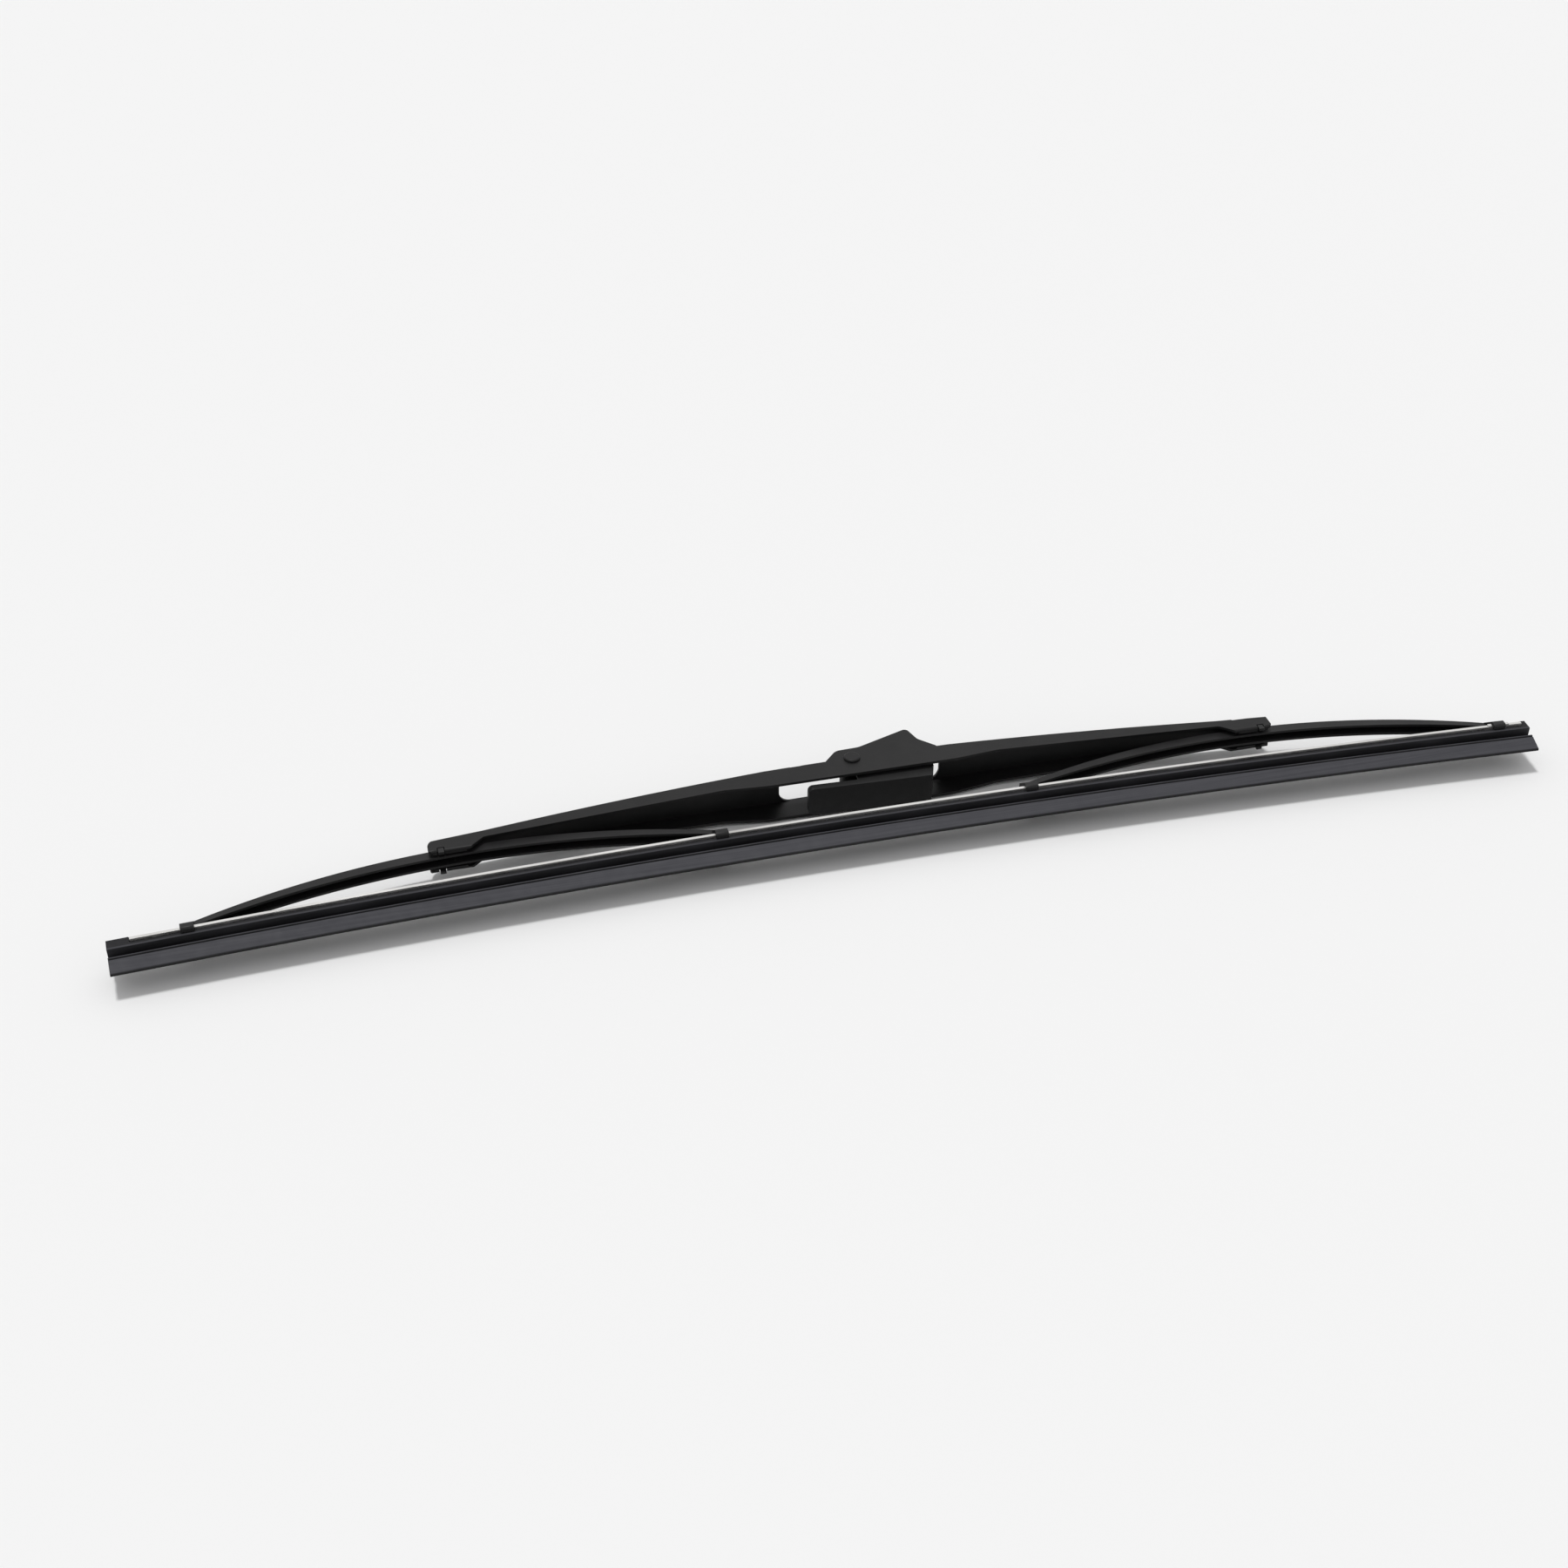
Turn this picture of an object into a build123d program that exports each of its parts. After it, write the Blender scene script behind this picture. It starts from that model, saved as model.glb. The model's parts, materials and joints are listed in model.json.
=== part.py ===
from build123d import *
import os
from math import asin, cos, degrees, radians, sin, sqrt

# A bracket-type wiper blade lying on its side, in millimetres.
# X runs along the blade, +Y points from the glass to the back of the bridge, +Z is up.
# The origin is the axis of the arm pin on the blade's mid-plane.
# Heights are measured from the rails' line at the middle of the blade.

# Rubber and rails
rubber_overhang_left = 20.25  # rubber beyond each end claw
rubber_overhang_right = 9.15
bow_radius = 3330.0           # the rails are sprung into this arc, hollow side to the glass
rail_width = 2.6
rail_thickness = 0.9
rail_inset_left = 5.9         # closed rubber end beyond the rails
rail_inset_right = 2.0
rail_stop_reach = 0.35        # lugs on the rails that trap the right end claw
rail_stop_length = 1.2
rail_fit = 0.05               # gap between a rail and its groove
web_half = 1.25               # rubber between the two rails
cap_half = 2.9
cap_thickness = 1.1
flange_half = 3.15
flange_thickness = 1.6
neck_half = 0.5
neck_height = 1.3
shoulder_half = 1.95
shoulder_height = 0.85
groove_half = 1.5
groove_height = 0.4
lip_root_half = 1.75
lip_height = 4.2
lip_edge_half = 0.32
end_block_gap = 0.2

# Yokes
pivot_distance = 114.7        # from the middle of the blade to each pivot
pivot_height = 12.7
claw_distance = 70.6          # from the pivot to each claw, along the yoke
yoke_width = 3.6
yoke_sheet = 0.7
yoke_chamfer = 0.5            # along the outside of the sheet's bends
yoke_rise = 1.75              # back of the yoke above the pivot
yoke_drop = 1.9               # edge of the yoke's walls below the pivot
yoke_tip_depth = 2.3
claw_length = 3.5
claw_back_height = 4.7        # back of a claw above the rails
claw_shoulder_height = 0.5
jaw_gap = 0.2                 # between a jaw and the rail's edge
foot_gap = 0.15               # between a rail and the foot under it
foot_overlap = 0.55           # how far a foot reaches under the rail

# Pivot bushes
trunnion_radius = 0.8
trunnion_fit = 0.05
bush_wall = 0.95
bush_roof = 0.75
bush_gap = 0.15               # side play of a yoke in its bush
bush_cheek_drop = 0.9         # foot of the bush's cheeks below the pivot
bush_end_gap = 0.2
bush_end_inset = 1.6          # keeps the bush inside the ear's rounded end
rock_gap = 0.9                # room over a yoke for its rocking
seat_gap = 0.05               # between a bush and the ear that holds it

# Arm adapter, made for a hooked arm
hook_width = 7.0
hook_thickness = 4.0
hook_play = 0.5
adapter_cheek = 0.7
adapter_boss = 0.9
adapter_boss_radius = 3.2
adapter_hub_radius = 3.4
adapter_floor = 2.2
adapter_plate = 1.5
adapter_tongue = 14.5         # reach of the floor on the latch side of the pin
adapter_tail = 22.4           # reach of the body on the other side
adapter_tail_slope = 1.6      # the tail's end slopes back by this much towards the glass
adapter_slope_height = 4.6
adapter_tail_rise = 2.4       # top of the body at its tail, above the pin
adapter_corner = 1.5
adapter_rest_angle = -2.5
latch_height = 0.9
latch_length = 1.6

# Arm pin
pin_radius = 2.0
pin_fit = 0.06                # the adapter turns on the pin with this radial gap
rivet_fit = 0.02
pin_head_radius = 2.35
pin_head_height = 0.75
pin_head_chamfer = 0.3

# Main bridge
pin_height = 21.8
pin_offset = -1.5             # from the middle of the blade to the arm pin
bridge_sheet = 0.8
bridge_bend = 0.95            # outside radius of the sheet's bends
back_height = 22.6
centre_flat = 27.0            # half length of the deep middle of the walls
centre_edge_height = 14.6
arm_start = 40.0
arm_edge_start_height = 16.2
arm_edge_end_height = 14.35
edge_blend = 12.0             # radius where the walls' edge changes slope
ear_inboard = 4.0             # ear on each side of the pivot
ear_outboard = 7.2
ear_root = 4.0                # length over which the wall deepens into the ear
ear_corner_left = 3.4         # on the back of each ear's end
ear_corner_right = 0.8
ear_root_round = 1.5
ear_edge_corner = 1.0
ear_end_round = 1.2           # on the glass side of each ear's end
fold_reach = 0.55             # folded edge of the ear under the bush
fold_bend = 0.7               # outside radius of that fold
notch_width = 2.0
notch_height = 1.5
notch_offset = 3.4            # from the ear's outer end
nib_drop = 0.7                # the bush's nib below the ear
window_left = 21.2            # from the pin to each end of the arm window
window_right = 25.9
window_corner = 3.5
hump_start = 7.8              # fin of the walls round the arm pin, measured from the pin
hump_boss_x = 3.6
hump_boss_rise = 4.5
hump_saddle_x = 3.2
hump_saddle_rise = 4.75
hump_peak_x = 18.9
hump_peak_rise = 10.3
hump_heel_x = 20.6
hump_heel_rise = 4.6
hump_end = 25.0
hump_root_round = 1.5
hump_boss_round = 3.0
hump_saddle_round = 6.0
hump_peak_round = 1.3
hump_heel_round = 3.0
side_gap = 0.05               # between the adapter's bosses and the walls

# Worked-out places
mid_x = -pin_offset
ear_start = pivot_distance - ear_inboard - ear_root
ear_end = pivot_distance + ear_outboard
rail_inner = web_half + rail_fit
rail_outer = rail_inner + rail_width
groove_top = rail_thickness / 2 + rail_fit
yoke_half = yoke_width / 2
cheek_inner = (hook_width + hook_play) / 2
cheek_outer = cheek_inner + adapter_cheek
wall_inner = cheek_outer + adapter_boss + side_gap
wall_outer = wall_inner + bridge_sheet
bush_inner = yoke_half + bush_gap
bush_outer = bush_inner + bush_wall
ear_inner = bush_outer + seat_gap
ear_outer = ear_inner + bridge_sheet
bush_foot = pivot_height - bush_cheek_drop
ear_bottom = bush_foot - seat_gap - bridge_sheet
back_pivot_height = pivot_height + yoke_rise + rock_gap + bush_roof + seat_gap + bridge_sheet
hook_slot = hook_thickness + hook_play
floor_inside = -adapter_hub_radius - hook_slot
floor_front = floor_inside - adapter_floor
far = 100.0                   # longer than any section, for cutting through
touching = 0.01               # closer than this, a point counts as on a curve


def level(height):
    """Y of a height above the rails' line at the middle of the blade."""
    return height - pin_height


def arc_radius(half_span, fall):
    """Radius of the arc that falls this much over this half span."""
    return (half_span**2 + fall**2) / (2 * fall)


def fall_of(radius, distance):
    """Fall of an arc at a distance from its crown."""
    return radius - sqrt(radius**2 - distance**2)


def both_sides(half):
    """A solid and its mirror image across the mid-plane."""
    return half + mirror(half, Plane.XY)


def slab(face, bottom, top):
    """A face in the XY plane, extruded from one height to another."""
    return Pos(0, 0, bottom) * extrude(face, top - bottom)


def tapered_plan(stations):
    """A bar seen from its back, symmetric both ways, given as distances and half widths."""
    right = [*stations, *[(x, -z) for x, z in reversed(stations)]]
    left = [(-x, z) for x, z in reversed(right)]
    face = make_face(Polyline(*right, *left, close=True))
    return extrude(Plane.XZ * face, far, both=True)


def under_arc(crown, radius, half_span):
    """Everything on the glass side of an arc, between its two ends."""
    end_y = crown - fall_of(radius, half_span)
    arc = ThreePointArc((-half_span, end_y), (0, crown), (half_span, end_y))
    sides = Polyline((half_span, end_y), (half_span, -far), (-half_span, -far), (-half_span, end_y))
    return extrude(make_face([*arc.edges(), *sides.edges()]), far, both=True)


def bend_edges(block, crown, radius):
    """Edges between the arched back of a channel and its walls."""
    edges = ShapeList()
    for edge in block.edges():
        middle = edge @ 0.5
        on_back = abs(middle.Y - crown + fall_of(radius, middle.X)) < touching
        if on_back and abs(middle.Z) > touching:
            edges.append(edge)
    return edges


# Rubber, rails and claws are turned about the far centre of the rails' bow.
bow_centre = Vector(mid_x, level(-bow_radius), 0)
bow_axis = Axis(bow_centre, (0, 0, -1))


def bow_plane(distance):
    """Section plane across the rails: local x points away from the glass, local y is +Z."""
    angle = distance / bow_radius
    radial = Vector(sin(angle), cos(angle), 0)
    tangent = Vector(cos(angle), -sin(angle), 0)
    return Plane(bow_centre + radial * bow_radius, x_dir=radial, z_dir=tangent)


def along_bow(section, start, end):
    """A section carried along the rails from one distance off the middle to another."""
    return revolve(bow_plane(start) * section, bow_axis, degrees((end - start) / bow_radius))


# The claws of a yoke lie on the bow, so the yoke rests at the slope of the chord between them.
rest_tilt = degrees(asin(pivot_distance / bow_radius))
claw_step = claw_distance * cos(radians(rest_tilt))
inner_claw = pivot_distance - claw_step
end_claw = pivot_distance + claw_step
rubber_start = -end_claw - rubber_overhang_left
rubber_end = end_claw + rubber_overhang_right
rail_start = rubber_start + rail_inset_left
rail_end = rubber_end - rail_inset_right
claw_drop = (fall_of(bow_radius, inner_claw) + fall_of(bow_radius, end_claw)) / 2
claw_back_y = claw_back_height - (pivot_height + claw_drop) * cos(radians(rest_tilt))
yoke_radius = arc_radius(claw_distance, yoke_rise - claw_back_y)
back_radius = arc_radius(pivot_distance, back_height - back_pivot_height)


def rubber_section():
    """Cap, rail grooves, flange, hinge neck, shoulders and wiping lip."""
    flange_foot = -groove_top - flange_thickness
    shoulder_top = flange_foot - neck_height
    shoulder_foot = shoulder_top - shoulder_height
    lip_root = shoulder_foot - groove_height
    half = [
        (groove_top + cap_thickness, cap_half),
        (groove_top, cap_half),
        (groove_top, web_half),
        (-groove_top, web_half),
        (-groove_top, flange_half),
        (flange_foot, flange_half),
        (flange_foot, neck_half),
        (shoulder_top, neck_half),
        (shoulder_top - shoulder_height / 2, shoulder_half),
        (shoulder_foot, shoulder_half),
        (shoulder_foot - groove_height / 2, groove_half),
        (lip_root, lip_root_half),
        (lip_root - lip_height, lip_edge_half),
    ]
    return make_face(Polyline(*half, *[(y, -z) for y, z in reversed(half)], close=True))


def make_squeegee():
    """One moulded rubber, with its rail grooves closed at both ends."""
    rubber = along_bow(rubber_section(), rubber_start, rubber_end)
    block_height = 2 * groove_top + cap_thickness
    block = Pos(block_height / 2 - groove_top, 0) * Rectangle(block_height, 2 * flange_half)
    rubber += along_bow(block, rubber_start, rail_start - end_block_gap)
    rubber += along_bow(block, rail_end + end_block_gap, rubber_end)
    return rubber


def make_upper_rail():
    """Flat spring strip with two lugs that trap the right end claw."""
    strip = Pos(0, rail_inner + rail_width / 2) * Rectangle(rail_thickness, rail_width)
    lug = Pos(0, rail_outer + rail_stop_reach / 2) * Rectangle(rail_thickness, rail_stop_reach)
    claw_room = claw_length / 2 + jaw_gap
    rail = along_bow(strip, rail_start, rail_end)
    rail += along_bow(lug, end_claw - claw_room - rail_stop_length, end_claw - claw_room)
    rail += along_bow(lug, end_claw + claw_room, end_claw + claw_room + rail_stop_length)
    return rail


def yoke_back(distance):
    """Y of the yoke's back at a distance along the yoke from its pivot."""
    return yoke_rise - fall_of(yoke_radius, distance)


def yoke_side():
    """Side of the yoke: deep at the pivot, thin at the claws."""
    end = claw_distance
    tip = claw_distance - claw_length / 2
    edge_y = yoke_back(tip) - yoke_tip_depth
    back = ThreePointArc((-end, yoke_back(end)), (0, yoke_rise), (end, yoke_back(end)))
    edge = ThreePointArc((-tip, edge_y), (0, -yoke_drop), (tip, edge_y))
    ends = []
    for side in (-1, 1):
        foot = (side * end, yoke_back(end) - yoke_sheet)
        ends += Polyline((side * end, yoke_back(end)), foot, (side * tip, edge_y)).edges()
    return make_face([*back.edges(), *edge.edges(), *ends])


def make_yoke_bar():
    """The yoke's channel in its own frame, with the pivot at the origin."""
    bar = extrude(yoke_side(), yoke_half, both=True)
    bar = chamfer(bend_edges(bar, yoke_rise, yoke_radius), yoke_chamfer)
    hollow = under_arc(yoke_rise - yoke_sheet, yoke_radius - yoke_sheet, claw_distance)
    bar -= hollow & Box(2 * far, 2 * far, yoke_width - 2 * yoke_sheet)
    return bar - Cylinder(trunnion_radius + trunnion_fit, far)


def claw_section():
    """Bent sheet that straddles the rubber's cap and hooks under both rails."""
    foot = -rail_thickness / 2 - foot_gap
    jaw = rail_outer + jaw_gap
    inside = [
        (foot, rail_outer - foot_overlap),
        (foot, jaw),
        (claw_shoulder_height, jaw),
        (claw_back_height - yoke_sheet, yoke_half - yoke_sheet / 2),
    ]
    path = Polyline(*inside, *[(y, -z) for y, z in reversed(inside)])
    return make_face(offset(path, yoke_sheet, kind=Kind.ARC, side=Side.LEFT).edges())


def make_yoke(side):
    """A yoke with its two claws; side is -1 for the left one and 1 for the right one."""
    pivot = Pos(mid_x + side * pivot_distance, level(pivot_height))
    yoke = pivot * Rot(0, 0, -side * rest_tilt) * make_yoke_bar()
    for distance in (inner_claw, end_claw):
        start = side * distance - claw_length / 2
        yoke += along_bow(claw_section(), start, start + claw_length)
    return yoke


def make_right_bush():
    """Plastic liner in the bridge's ear, whose trunnions carry the yoke."""
    start = pivot_distance - ear_inboard + bush_end_gap
    end = ear_end - bush_end_inset
    foot = level(bush_foot)
    blank = Pos((start + end) / 2, foot + far / 2) * Box(end - start, far, 2 * bush_outer)
    inset = bridge_sheet + seat_gap
    blank &= under_arc(level(back_height) - inset, back_radius - inset, 2 * ear_end)
    pivot = Pos(pivot_distance, level(pivot_height))
    slot = Pos(0, yoke_rise + rock_gap - far / 2) * Box(far, far, 2 * bush_inner)
    bush = blank - pivot * Rot(0, 0, -rest_tilt) * slot
    reach = yoke_half - yoke_sheet
    trunnion = Pos(0, 0, (bush_inner + reach) / 2) * Cylinder(trunnion_radius, bush_inner - reach)
    nib_width = notch_width - 2 * bush_end_gap
    nib_height = nib_drop + notch_height - bush_end_gap
    nib_y = level(ear_bottom) - nib_drop + nib_height / 2
    nib = Box(nib_width, nib_height, bridge_sheet)
    nib = Pos(ear_end - notch_offset, nib_y, bush_outer + bridge_sheet / 2) * nib
    return Pos(mid_x) * (bush + both_sides(pivot * trunnion) + both_sides(nib))


def bridge_half_side():
    """Right half of the bridge's side, from the middle of the blade to the ear."""
    crown = level(back_height)
    end_y = crown - fall_of(back_radius, ear_end)
    half_y = crown - fall_of(back_radius, ear_end / 2)
    back = ThreePointArc((0, crown), (ear_end / 2, half_y), (ear_end, end_y))
    edge = FilletPolyline(
        (ear_end, end_y),
        (ear_end, level(ear_bottom)),
        (pivot_distance - ear_inboard, level(ear_bottom)),
        (ear_start, level(arm_edge_end_height)),
        (arm_start, level(arm_edge_start_height)),
        (centre_flat, level(centre_edge_height)),
        (0, level(centre_edge_height)),
        radius=[ear_end_round, ear_edge_corner, ear_root_round, edge_blend, edge_blend],
    )
    middle = Line((0, level(centre_edge_height)), (0, crown))
    return make_face([*back.edges(), *edge.edges(), *middle.edges()])


def hump_side():
    """Fin of a wall: a boss round the pin, a ramp to a peak and a hollow heel."""
    outline = FilletPolyline(
        (-hump_start, -hump_boss_rise),
        (-hump_start, 0),
        (-hump_boss_x, hump_boss_rise),
        (hump_saddle_x, hump_saddle_rise),
        (hump_peak_x, hump_peak_rise),
        (hump_heel_x, hump_heel_rise),
        (hump_end, 0),
        (hump_end, -hump_boss_rise),
        radius=[
            hump_root_round,
            hump_boss_round,
            hump_saddle_round,
            hump_peak_round,
            hump_heel_round,
            hump_root_round,
        ],
    )
    return make_face([*outline.edges(), *Line(outline @ 1, outline @ 0).edges()])


def make_bridge():
    """Pressed channel with an arm window, fins round the arm pin and an ear at each end."""
    half = bridge_half_side()
    side = half + mirror(half, Plane.YZ)
    outer_plan = [(centre_flat, wall_outer), (ear_start, ear_outer), (ear_end, ear_outer)]
    inner_plan = [(centre_flat, wall_inner), (ear_start, ear_inner), (2 * ear_end, ear_inner)]
    block = extrude(side, far, both=True) & tapered_plan(outer_plan)
    block = fillet(bend_edges(block, level(back_height), back_radius), bridge_bend)
    hollow = under_arc(level(back_height) - bridge_sheet, back_radius - bridge_sheet, 2 * ear_end)
    bridge = block - (hollow & tapered_plan(inner_plan))
    end_corners = side.vertices().filter_by(lambda corner: abs(corner.X) > ear_end - touching)
    top_corners = end_corners.sort_by(Axis.Y)[-2:].sort_by(Axis.X)
    side = fillet(top_corners[0], ear_corner_left)
    side = fillet(side.vertices().sort_by_distance(top_corners[1])[0], ear_corner_right)
    bridge &= extrude(side, far, both=True)
    fold_y = level(ear_bottom) + bridge_sheet / 2
    fold_start = pivot_distance - ear_inboard + ear_edge_corner
    fold_end = ear_end - ear_end_round
    fold = Box(fold_end - fold_start, bridge_sheet, fold_reach)
    spare = Pos(fold_bend / 2, -fold_bend / 2) * Rectangle(fold_bend, fold_bend)
    spare -= Pos(fold_bend, -fold_bend) * Circle(fold_bend)
    spare = extrude(Plane.YZ * spare, 2 * ear_end, both=True)
    notch = Box(notch_width, 2 * notch_height, 2 * far)
    for end in (-1, 1):
        middle = end * (fold_start + fold_end) / 2
        bridge += both_sides(Pos(middle, fold_y, ear_inner - fold_reach / 2) * fold)
        bridge -= Pos(end * (ear_end - notch_offset), level(ear_bottom)) * notch
    bridge -= both_sides(Pos(0, level(ear_bottom), ear_outer) * spare)
    bridge = Pos(mid_x) * bridge
    window = RectangleRounded(window_left + window_right, 2 * wall_inner, window_corner)
    bridge -= extrude(Plane.XZ * Pos((window_right - window_left) / 2, 0) * window, far, both=True)
    bridge += both_sides(slab(hump_side(), wall_inner, wall_outer))
    return bridge - Cylinder(pin_radius + rivet_fit, far)


def make_adapter():
    """Plastic hook adapter: hub, box body, cheeks and a spring floor with a latch."""
    tail = adapter_tail
    rise = adapter_tail_rise
    hub = adapter_hub_radius
    plate = adapter_plate
    roof = make_face(Polyline((0, hub), (0, hub - plate), (tail, rise - plate), (tail, rise), close=True))
    web = Pos(tail / 2, plate / 2 - hub) * Rectangle(tail, plate)
    stop_height = plate - hub - floor_front
    stop = Pos(tail - plate / 2, floor_front + stop_height / 2) * Rectangle(plate, stop_height)
    core = slab(Circle(hub) + roof + web + stop, -cheek_inner, cheek_inner)
    cheek = make_face(Polyline((0, floor_front), (tail, floor_front), (tail, rise), (0, hub), close=True))
    cheek += Circle(hub)
    adapter = core + both_sides(slab(cheek, cheek_inner, cheek_outer))
    floor_length = adapter_tongue + tail
    floor = RectangleRounded(floor_length, 2 * cheek_outer, adapter_corner)
    floor = Plane.XZ * Pos(tail - floor_length / 2, 0) * floor
    adapter += Pos(0, floor_inside) * extrude(floor, adapter_floor)
    floor_end = (tail - adapter_tail_slope, floor_front)
    slope_top = (tail, floor_front + adapter_slope_height)
    adapter -= slab(make_face(Polyline(floor_end, (tail, floor_front), slope_top, close=True)), -far, far)
    latch = Box(latch_length, latch_height, 2 * cheek_inner)
    latch_x = latch_length / 2 + adapter_corner - adapter_tongue
    adapter += Pos(latch_x, floor_inside + latch_height / 2) * latch
    adapter += both_sides(slab(Circle(adapter_boss_radius), cheek_outer, cheek_outer + adapter_boss))
    adapter -= Cylinder(pin_radius + pin_fit, far)
    return Rot(0, 0, adapter_rest_angle) * adapter


def make_pin():
    """Arm pin riveted through both walls, with a low chamfered head at each end."""
    head = Pos(0, 0, wall_outer + pin_head_height / 2) * Cylinder(pin_head_radius, pin_head_height)
    head = chamfer(head.edges().group_by(Axis.Z)[-1], pin_head_chamfer)
    return Cylinder(pin_radius, 2 * wall_outer) + both_sides(head)


upper_rail = make_upper_rail()
right_bush = make_right_bush()
nodes = {
    "main_bridge": make_bridge(),
    "left_yoke": make_yoke(-1),
    "right_yoke": make_yoke(1),
    "left_pivot_bush": Pos(mid_x) * mirror(Pos(-mid_x) * right_bush, Plane.YZ),
    "right_pivot_bush": right_bush,
    "arm_pin": make_pin(),
    "arm_adapter": make_adapter(),
    "squeegee": make_squeegee(),
    "upper_rail": upper_rail,
    "lower_rail": mirror(upper_rail, Plane.XY),
}
os.makedirs("parts", exist_ok=True)
for name, solid in nodes.items():
    export_step(solid, f"parts/{name}.step")
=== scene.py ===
import json
from math import radians

import bmesh
import bpy
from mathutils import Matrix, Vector


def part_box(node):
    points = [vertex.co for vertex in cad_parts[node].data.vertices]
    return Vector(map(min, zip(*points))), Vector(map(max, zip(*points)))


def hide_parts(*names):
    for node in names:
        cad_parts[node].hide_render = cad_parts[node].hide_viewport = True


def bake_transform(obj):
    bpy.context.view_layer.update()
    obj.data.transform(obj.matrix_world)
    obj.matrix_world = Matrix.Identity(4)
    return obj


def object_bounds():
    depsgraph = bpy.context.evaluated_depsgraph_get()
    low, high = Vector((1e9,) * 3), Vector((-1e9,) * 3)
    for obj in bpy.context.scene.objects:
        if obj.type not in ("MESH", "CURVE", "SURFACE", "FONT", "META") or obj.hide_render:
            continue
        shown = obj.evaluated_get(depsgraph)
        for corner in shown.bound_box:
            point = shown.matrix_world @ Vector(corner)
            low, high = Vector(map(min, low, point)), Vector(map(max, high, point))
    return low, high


# A bracket-type wiper blade lying on its side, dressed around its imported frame, in metres.
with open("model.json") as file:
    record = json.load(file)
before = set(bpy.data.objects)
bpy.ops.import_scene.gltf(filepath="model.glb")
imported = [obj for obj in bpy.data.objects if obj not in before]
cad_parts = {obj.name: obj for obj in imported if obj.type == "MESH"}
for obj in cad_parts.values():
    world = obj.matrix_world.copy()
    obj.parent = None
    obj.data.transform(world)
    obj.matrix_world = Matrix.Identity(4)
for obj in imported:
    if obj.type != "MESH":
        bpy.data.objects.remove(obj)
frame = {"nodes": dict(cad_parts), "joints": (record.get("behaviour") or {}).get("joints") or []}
cad_low, cad_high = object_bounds()

# Camera, at the photograph's viewing angle
VIEW_ELEVATION = 36.0
VIEW_AZIMUTH = -14.25
CAMERA_PLACE = (-0.1396, -0.4721, 0.3546)
LENS = 49.19

# Finish of the edges, with the widths asked for; the bevel's clamp narrows them on some pieces
SHEET_EDGE = 0.00012
MOULDED_EDGE = 0.00022
RUBBER_EDGE = 0.00011
RAIL_EDGE = 0.00008
EDGE_STEPS = 2
SHARP_ANGLE = radians(28)
FLAT_ANGLE = radians(0.1)

# Corners closer than this become one, in a CAD mesh and after its edges are rounded
MERGE = 0.000002
SLIVER = 0.0000001

# Length of the slices across which the rubber and its rails are cut
BEND_STEP = 0.004

# Noise values between which a texture goes from its low to its high level
NOISE_LOW = 0.3
NOISE_HIGH = 0.7

# The paint's and the plastic's tone where it is clean and where it is dusty, as shares of its shade
CLEAN_PAINT = (0.82, 0.80, 0.84)
DUSTY_PAINT = (1.28, 1.25, 1.27)
CLEAN_PLASTIC = (0.85, 0.85, 0.87)
DUSTY_PLASTIC = (1.2, 1.19, 1.22)

# Bare steel, from its dull patches to its bright ones
STEEL_TONES = [
    (0.28, (0.36, 0.35, 0.34)),
    (0.45, (0.58, 0.575, 0.56)),
    (0.75, (0.7, 0.695, 0.68)),
]

# Rubber, in the dark and the light of its streaks; the light tone is the coating's, and also that
# of the painted highlight lines
BLACK_STREAKS = (0.009, 0.0088, 0.0098), (0.016, 0.0157, 0.0172)
COATED_AND_HIGHLIGHT_STREAKS = (0.048, 0.048, 0.055), (0.064, 0.064, 0.072)

# The rails' bow, and how much the rubber is greyed at heights from the rails' line: by its coating
# on the lip's flank, and by painted highlight lines along the shoulder and the flange's ridge
RAIL_LINE = -0.0218
BOW_RADIUS = 3.33
RUBBER_FOOT = -0.009
RUBBER_TOP = 0.0018
COATING_AND_HIGHLIGHTS = [
    # The lip's very edge stays black
    (-0.00885, 0.0),
    (-0.0086, 0.1),
    # Coating on the lip's flank
    (-0.0084, 1.0),
    (-0.00475, 1.0),
    (-0.0046, 0.0),
    (-0.0043, 0.0),
    # Painted highlight: a light line along the lip's shoulder
    (-0.0042, 0.8),
    (-0.00385, 0.8),
    (-0.0037, 0.0),
    (-0.00215, 0.0),
    # Painted highlight: a light line along the flange's ridge
    (-0.00205, 0.7),
    (-0.0016, 0.7),
    (-0.0013, 0.08),
    (0.0017, 0.08),
]

# Floor and light
FLOOR_SIZE = 60.0
FLOOR_COLOUR = (0.87, 0.87, 0.87)
WORLD_STRENGTH = 0.55
SEEN_STRENGTH = 1.0
KEY_FROM = (-0.2, 0.62, 2.96)
KEY_SPREAD = radians(9.4)
KEY_STRENGTH = 1.57


def material(name, colour, roughness, metallic=0.0, specular=0.5):
    """A new material with its main values set on the shader itself."""
    made = bpy.data.materials.new(name)
    made.use_nodes = True
    shader = made.node_tree.nodes["Principled BSDF"]
    shader.inputs["Base Color"].default_value = (*colour, 1.0)
    shader.inputs["Roughness"].default_value = roughness
    shader.inputs["Metallic"].default_value = metallic
    shader.inputs["Specular IOR Level"].default_value = specular
    return made


def drive(made, value, target):
    """Links a worked-out value to one of the shader's inputs."""
    shader = made.node_tree.nodes["Principled BSDF"]
    made.node_tree.links.new(value, shader.inputs[target])


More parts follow.
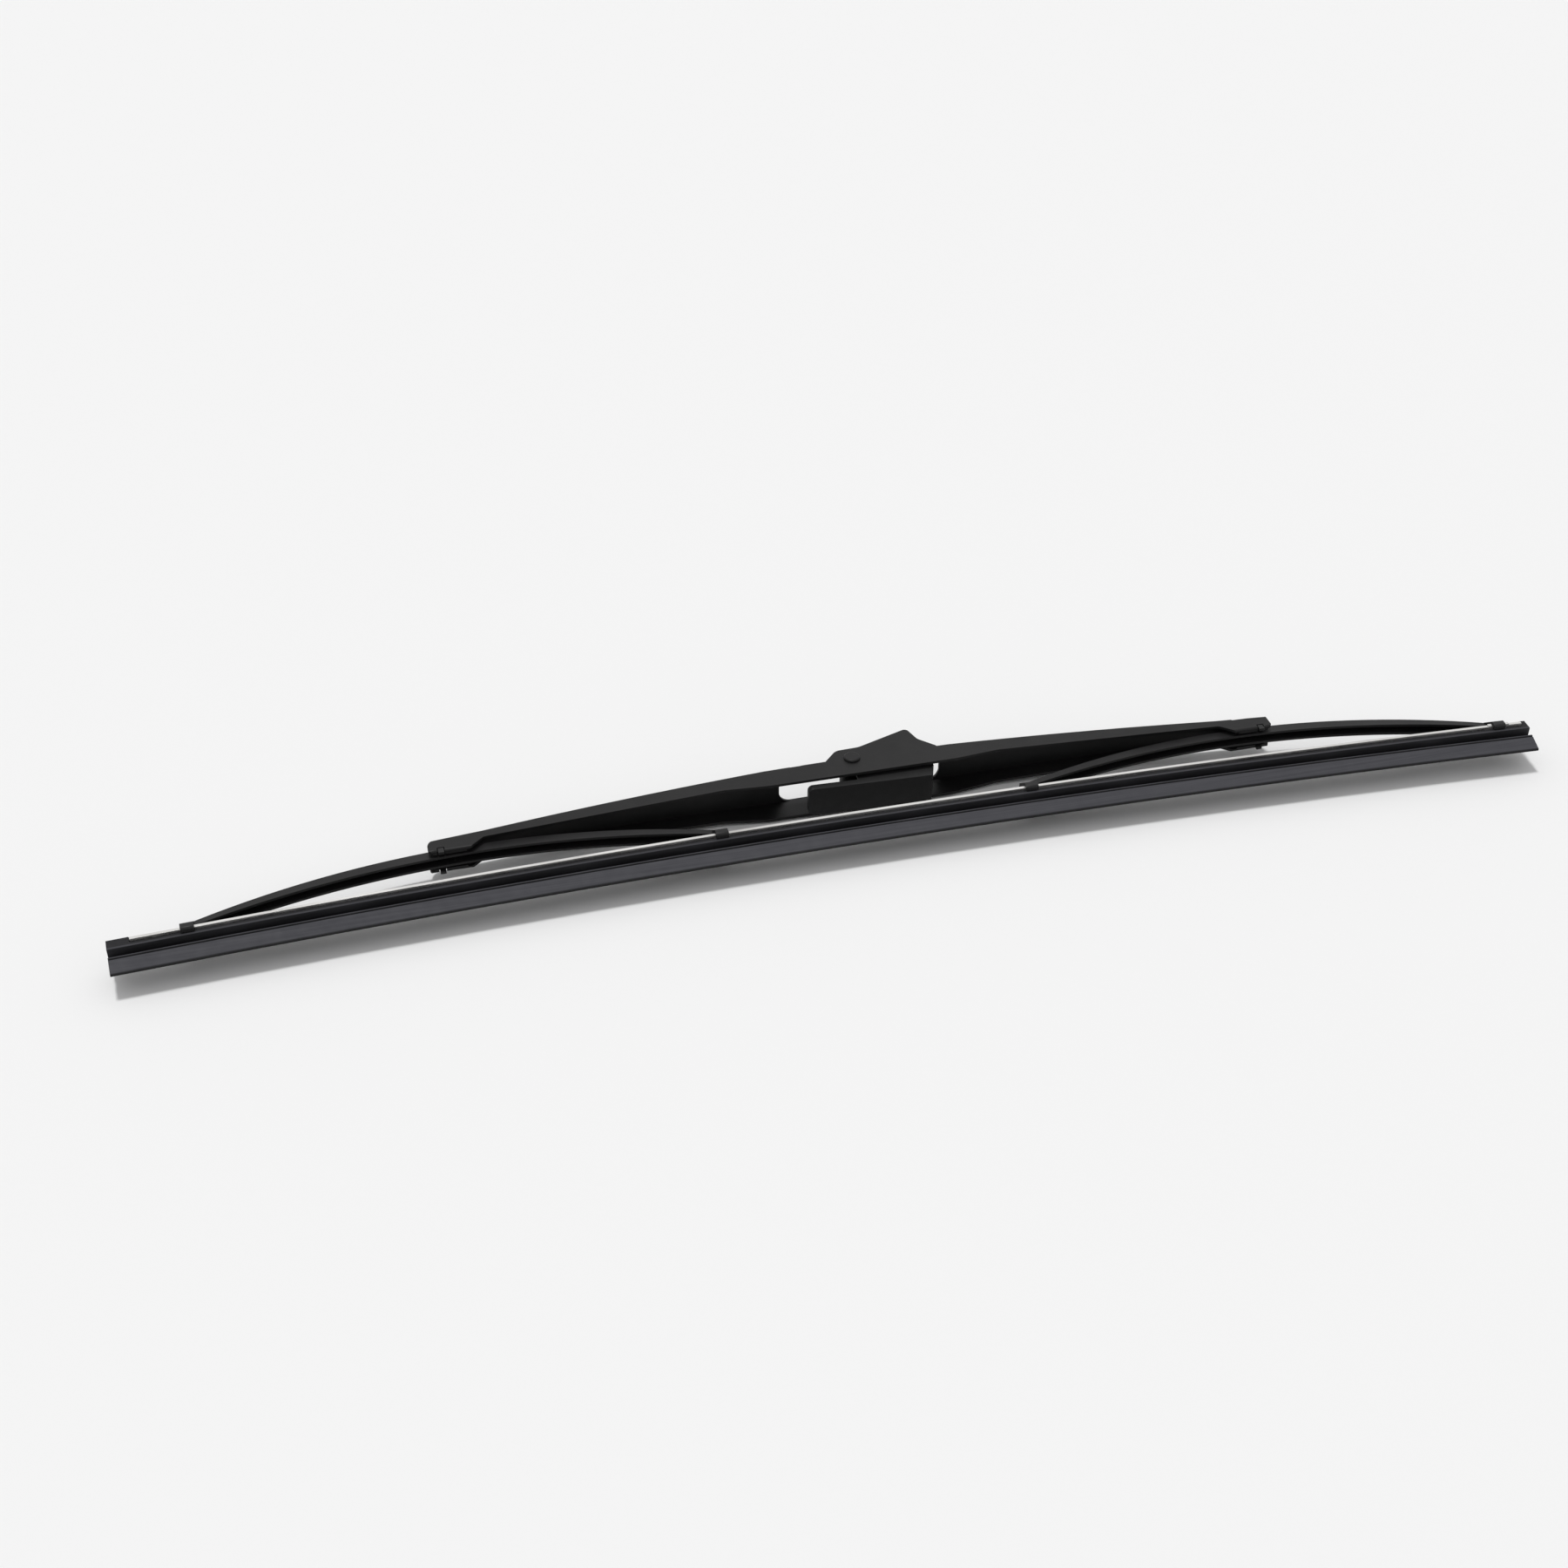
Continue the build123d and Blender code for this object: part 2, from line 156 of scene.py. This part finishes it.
def noise(made, size, detail, stretch=(1.0, 1.0, 1.0)):
    """Noise in the frame's own metres, with blotches of about this size."""
    nodes, links = made.node_tree.nodes, made.node_tree.links
    place = nodes.new("ShaderNodeTexCoord")
    mapping = nodes.new("ShaderNodeMapping")
    mapping.inputs["Scale"].default_value = stretch
    texture = nodes.new("ShaderNodeTexNoise")
    texture.inputs["Scale"].default_value = 1.0 / size
    texture.inputs["Detail"].default_value = detail
    links.new(place.outputs["Object"], mapping.inputs["Vector"])
    links.new(mapping.outputs["Vector"], texture.inputs["Vector"])
    return texture.outputs["Fac"]


def ramp(made, value, stops):
    """A colour ramp over a value, given as positions and colours."""
    node = made.node_tree.nodes.new("ShaderNodeValToRGB")
    band = node.color_ramp
    while len(band.elements) < len(stops):
        band.elements.new(0.5)
    for element, (position, colour) in zip(band.elements, stops):
        element.position = position
        element.color = (*colour, 1.0)
    made.node_tree.links.new(value, node.inputs["Fac"])
    return node.outputs["Color"]


def two_tone(made, value, low, high):
    """A colour between two tones, as the noise goes from low to high."""
    return ramp(made, value, [(NOISE_LOW, low), (NOISE_HIGH, high)])


def roughen(made, value, low, high):
    """Drives the roughness between two levels, as the noise goes from low to high."""
    node = made.node_tree.nodes.new("ShaderNodeMapRange")
    node.inputs["From Min"].default_value = NOISE_LOW
    node.inputs["From Max"].default_value = NOISE_HIGH
    node.inputs["To Min"].default_value = low
    node.inputs["To Max"].default_value = high
    made.node_tree.links.new(value, node.inputs["Value"])
    drive(made, node.outputs["Result"], "Roughness")


def bump(made, value, depth):
    """Raises the surface by a value, up to this depth."""
    node = made.node_tree.nodes.new("ShaderNodeBump")
    node.inputs["Strength"].default_value = 1.0
    node.inputs["Distance"].default_value = depth
    made.node_tree.links.new(value, node.inputs["Height"])
    drive(made, node.outputs["Normal"], "Normal")


def tinted(shade, tint):
    """A shade with each of its channels scaled."""
    return tuple(shade * share for share in tint)


def painted_steel(name, shade, gloss):
    """Satin black paint: soft blotches of dust, a broken gloss and a fine orange peel."""
    made = material(name, (shade, shade, shade), roughness=0.42, specular=gloss)
    dust = noise(made, size=0.018, detail=6.0)
    colour = two_tone(made, dust, tinted(shade, CLEAN_PAINT), tinted(shade, DUSTY_PAINT))
    drive(made, colour, "Base Color")
    roughen(made, noise(made, size=0.006, detail=5.0), low=0.36, high=0.5)
    bump(made, noise(made, size=0.0007, detail=3.0), depth=0.000012)
    return made


def moulded_plastic(name, shade):
    """Matte black moulding with a spark-eroded grain."""
    made = material(name, (shade, shade, shade), roughness=0.55, specular=0.22)
    dust = noise(made, size=0.004, detail=4.0)
    colour = two_tone(made, dust, tinted(shade, CLEAN_PLASTIC), tinted(shade, DUSTY_PLASTIC))
    drive(made, colour, "Base Color")
    roughen(made, noise(made, size=0.002, detail=3.0), low=0.48, high=0.62)
    bump(made, noise(made, size=0.00025, detail=2.0), depth=0.000015)
    return made


def section_place(height):
    """A height on the rubber's section, from 0 at the lip's edge to 1 at the cap."""
    return (height - RUBBER_FOOT) / (RUBBER_TOP - RUBBER_FOOT)


def lip_rubber(name):
    """Black rubber whose lip is greyed by its coating, with painted highlight lines along the
    shoulder and the flange's ridge, and faint lines along its length.
    """
    made = material(name, (0.03, 0.03, 0.033), roughness=0.62, specular=0.12)
    nodes, links = made.node_tree.nodes, made.node_tree.links
    streaks = noise(made, size=0.0006, detail=3.0, stretch=(0.012, 1.0, 1.0))
    where = nodes.new("ShaderNodeAttribute")
    where.attribute_name = "section_place"
    stops = [(section_place(height), (amount, amount, amount)) for height, amount in COATING_AND_HIGHLIGHTS]
    mix = nodes.new("ShaderNodeMix")
    mix.data_type = "RGBA"
    links.new(ramp(made, where.outputs["Fac"], stops), mix.inputs["Factor"])
    links.new(two_tone(made, streaks, *BLACK_STREAKS), mix.inputs["A"])
    links.new(two_tone(made, streaks, *COATED_AND_HIGHLIGHT_STREAKS), mix.inputs["B"])
    drive(made, mix.outputs["Result"], "Base Color")
    roughen(made, noise(made, size=0.003, detail=4.0), low=0.55, high=0.7)
    bump(made, streaks, depth=0.000012)
    return made


def spring_steel(name):
    """Bare rolled steel with drawn lines and a few dull patches."""
    made = material(name, (0.6, 0.6, 0.59), roughness=0.34, metallic=1.0)
    patches = noise(made, size=0.03, detail=5.0)
    drive(made, ramp(made, patches, STEEL_TONES), "Base Color")
    lines = noise(made, size=0.0003, detail=2.0, stretch=(0.01, 1.0, 1.0))
    roughen(made, lines, low=0.26, high=0.44)
    bump(made, lines, depth=0.000006)
    return made


bridge_paint = painted_steel("bridge_paint", shade=0.0105, gloss=0.16)
yoke_paint = painted_steel("yoke_paint", shade=0.013, gloss=0.18)
bush_plastic = moulded_plastic("bush_plastic", shade=0.013)
adapter_plastic = moulded_plastic("adapter_plastic", shade=0.007)
squeegee_rubber = lip_rubber("squeegee_rubber")
rail_steel = spring_steel("rail_steel")


def join_flats(piece):
    """Joins a CAD node's facets where they lie in one plane."""
    weld = piece.modifiers.new("weld", "WELD")
    weld.merge_threshold = MERGE
    flats = piece.modifiers.new("flats", "DECIMATE")
    flats.decimate_type = "DISSOLVE"
    flats.angle_limit = FLAT_ANGLE


def round_edges(piece, width):
    """Rounds a piece's sharp edges, at most by this width, and keeps its flat faces flat."""
    bevel = piece.modifiers.new("edges", "BEVEL")
    bevel.width = width
    bevel.segments = EDGE_STEPS
    bevel.limit_method = "ANGLE"
    bevel.angle_limit = SHARP_ANGLE
    slivers = piece.modifiers.new("slivers", "WELD")
    slivers.merge_threshold = SLIVER
    normals = piece.modifiers.new("normals", "WEIGHTED_NORMAL")
    normals.keep_sharp = False
    piece.data.shade_smooth()


def dress(node, finish, edge):
    """Gives a CAD node its finish and rounded edges."""
    piece = frame["nodes"][node]
    piece.data.materials.clear()
    piece.data.materials.append(finish)
    join_flats(piece)
    round_edges(piece, edge)


dress("main_bridge", bridge_paint, SHEET_EDGE)
dress("arm_pin", bridge_paint, SHEET_EDGE)
dress("left_yoke", yoke_paint, SHEET_EDGE)
dress("right_yoke", yoke_paint, SHEET_EDGE)
dress("left_pivot_bush", bush_plastic, SHEET_EDGE)
dress("right_pivot_bush", bush_plastic, SHEET_EDGE)
dress("arm_adapter", adapter_plastic, MOULDED_EDGE)

# The rubber and its rails hang in the claws; each is cut into two halves, one on each yoke's side.
pivots = {j["child"]: Vector(j["pos_m"]) for j in frame["joints"]}
middle_x = (pivots["left_yoke"].x + pivots["right_yoke"].x) / 2


def cut_half(node, side):
    """Half of a CAD node, open at the middle and sliced across so that it can bend."""
    half = bmesh.new()
    half.from_mesh(frame["nodes"][node].data)
    bmesh.ops.remove_doubles(half, verts=half.verts, dist=MERGE)
    bmesh.ops.dissolve_limit(half, angle_limit=FLAT_ANGLE, verts=half.verts, edges=half.edges)
    low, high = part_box(node)
    end = high.x if side > 0 else low.x
    steps = int(abs(end - middle_x) / BEND_STEP)
    for step in range(steps):
        bmesh.ops.bisect_plane(
            half,
            geom=[*half.verts, *half.edges, *half.faces],
            plane_co=(middle_x + side * step * BEND_STEP, 0, 0),
            plane_no=(side, 0, 0),
            clear_inner=step == 0,
            dist=MERGE,
        )
    bmesh.ops.recalc_face_normals(half, faces=half.faces)
    return half


def close_cut(data):
    """Closes the end of a half that meets the other half."""
    half = bmesh.new()
    half.from_mesh(data)
    rim = [edge for edge in half.edges if edge.is_boundary]
    for edge in rim:
        edge.smooth = False
    bmesh.ops.holes_fill(half, edges=rim)
    half.to_mesh(data)
    half.free()


def mark_heights(data):
    """Writes on each corner of the rubber its place on the section."""
    centre = Vector((middle_x, RAIL_LINE - BOW_RADIUS))
    places = data.attributes.new("section_place", "FLOAT", "POINT")
    for corner in data.vertices:
        height = (corner.co.xy - centre).length - BOW_RADIUS
        places.data[corner.index].value = section_place(height)


def bending_half(node, yoke, side, finish, edge):
    """Half of a node as a piece of its own, on one yoke's side."""
    half = cut_half(node, side)
    data = bpy.data.meshes.new(f"{node}_{yoke}")
    half.to_mesh(data)
    half.free()
    data.materials.append(finish)
    piece = bpy.data.objects.new(f"{node}_on_{yoke}", data)
    bpy.context.scene.collection.objects.link(piece)
    round_edges(piece, edge)
    bpy.context.view_layer.update()
    shaped = piece.evaluated_get(bpy.context.evaluated_depsgraph_get())
    piece.data = bpy.data.meshes.new_from_object(shaped)
    piece.modifiers.clear()
    close_cut(piece.data)
    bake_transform(piece)
    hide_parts(node)
    return piece


for yoke, side in (("left_yoke", -1), ("right_yoke", 1)):
    rubber = bending_half("squeegee", yoke, side, squeegee_rubber, RUBBER_EDGE)
    mark_heights(rubber.data)
    for rail in ("upper_rail", "lower_rail"):
        strip = bending_half(rail, yoke, side, rail_steel, RAIL_EDGE)


def make_floor():
    """A pale floor under the part."""
    half = FLOOR_SIZE / 2
    data = bpy.data.meshes.new("floor")
    corners = [(-half, -half), (half, -half), (half, half), (-half, half)]
    data.from_pydata([(x, y, cad_low.z) for x, y in corners], [], [(0, 1, 2, 3)])
    data.materials.append(material("floor", FLOOR_COLOUR, roughness=0.7, specular=0.2))
    floor = bpy.data.objects.new("floor", data)
    bpy.context.scene.collection.objects.link(floor)


def make_world():
    """A pale world, which the camera and reflections see as white."""
    world = bpy.data.worlds.new("studio")
    world.use_nodes = True
    nodes, links = world.node_tree.nodes, world.node_tree.links
    nodes["Background"].inputs["Color"].default_value = (1.0, 1.0, 1.0, 1.0)
    rays = nodes.new("ShaderNodeLightPath")
    seen = rays.outputs["Is Camera Ray"]
    for kind in ("Is Glossy Ray", "Is Transmission Ray"):
        either = nodes.new("ShaderNodeMath")
        either.operation = "MAXIMUM"
        links.new(seen, either.inputs[0])
        links.new(rays.outputs[kind], either.inputs[1])
        seen = either.outputs["Value"]
    strength = nodes.new("ShaderNodeMapRange")
    strength.inputs["To Min"].default_value = WORLD_STRENGTH
    strength.inputs["To Max"].default_value = SEEN_STRENGTH
    links.new(seen, strength.inputs["Value"])
    links.new(strength.outputs["Result"], nodes["Background"].inputs["Strength"])
    bpy.context.scene.world = world


def make_key():
    """One soft light from high above the part and a little behind it, even over the floor."""
    data = bpy.data.lights.new("key", "SUN")
    data.angle = KEY_SPREAD
    data.energy = KEY_STRENGTH
    lamp = bpy.data.objects.new("key", data)
    lamp.location = KEY_FROM
    lamp.rotation_euler = (-Vector(KEY_FROM)).to_track_quat("-Z", "Y").to_euler()
    bpy.context.scene.collection.objects.link(lamp)


def make_camera():
    """The camera the photograph was taken with, as far as its picture tells."""
    data = bpy.data.cameras.new("camera")
    data.lens = LENS
    camera = bpy.data.objects.new("camera", data)
    camera.location = CAMERA_PLACE
    camera.rotation_euler = (radians(90 - VIEW_ELEVATION), 0, radians(VIEW_AZIMUTH))
    bpy.context.scene.collection.objects.link(camera)
    bpy.context.scene.camera = camera


make_floor()
make_world()
make_key()
make_camera()
bpy.context.scene.view_settings.view_transform = "Standard"
